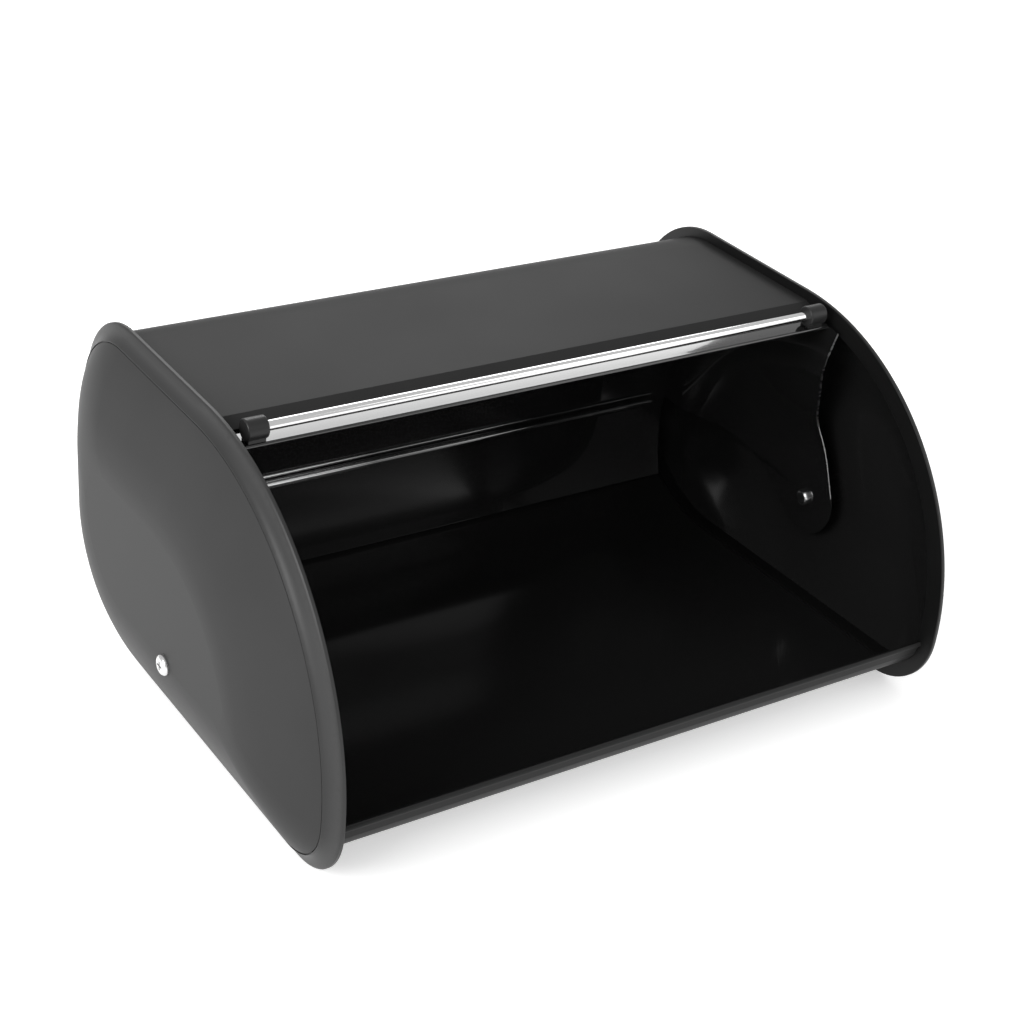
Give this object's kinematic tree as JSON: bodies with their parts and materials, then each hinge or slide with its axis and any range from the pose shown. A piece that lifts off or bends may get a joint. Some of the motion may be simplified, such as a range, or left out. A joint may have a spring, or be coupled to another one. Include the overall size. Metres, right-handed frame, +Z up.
{
  "type": "bread box with roll top",
  "caption": "Steel bread box with rounded ends and a curved front lid that swings up inside the body by a full-width handle bar.",
  "frame": {"origin": "centre of the footprint, on the surface the box stands on", "axes": "+X along the box to the right end, +Y from the front opening to the back, +Z up"},
  "size_m": [0.412, 0.28, 0.187],
  "materials": {
    "shell_paint": "matt charcoal outside, gloss inside",
    "ring_plastic": "satin",
    "lid_paint": "gloss black",
    "chrome": "polished",
    "black_plastic": "satin",
    "screw_steel": "bright"
  },
  "bodies": {
    "box": {"body_shell": "shell_paint", "end_ring_left": "ring_plastic", "end_ring_right": "ring_plastic", "end_dome_left": "shell_paint", "end_dome_right": "shell_paint", "pivot_screw_left": "screw_steel", "pivot_screw_right": "screw_steel", "pivot_nut_left": "screw_steel", "pivot_nut_right": "screw_steel", "pivot_washer_left": "black_plastic", "pivot_washer_right": "black_plastic", "pivot_bush_left": "black_plastic", "pivot_bush_right": "black_plastic"},
    "lid": {"lid_panel": "lid_paint", "lid_arm_left": "lid_paint", "lid_arm_right": "lid_paint", "handle_bar": "chrome", "handle_bracket_left": "black_plastic", "handle_bracket_right": "black_plastic", "handle_screw_left": "screw_steel", "handle_screw_right": "screw_steel"}
  },
  "joints": [
    {"name": "lid_hinge", "type": "hinge", "parent": "box", "child": "lid", "pos_m": [0, -0.013, 0.06], "axis": [1, 0, 0], "range_deg": [0, 94.5]}
  ]
}
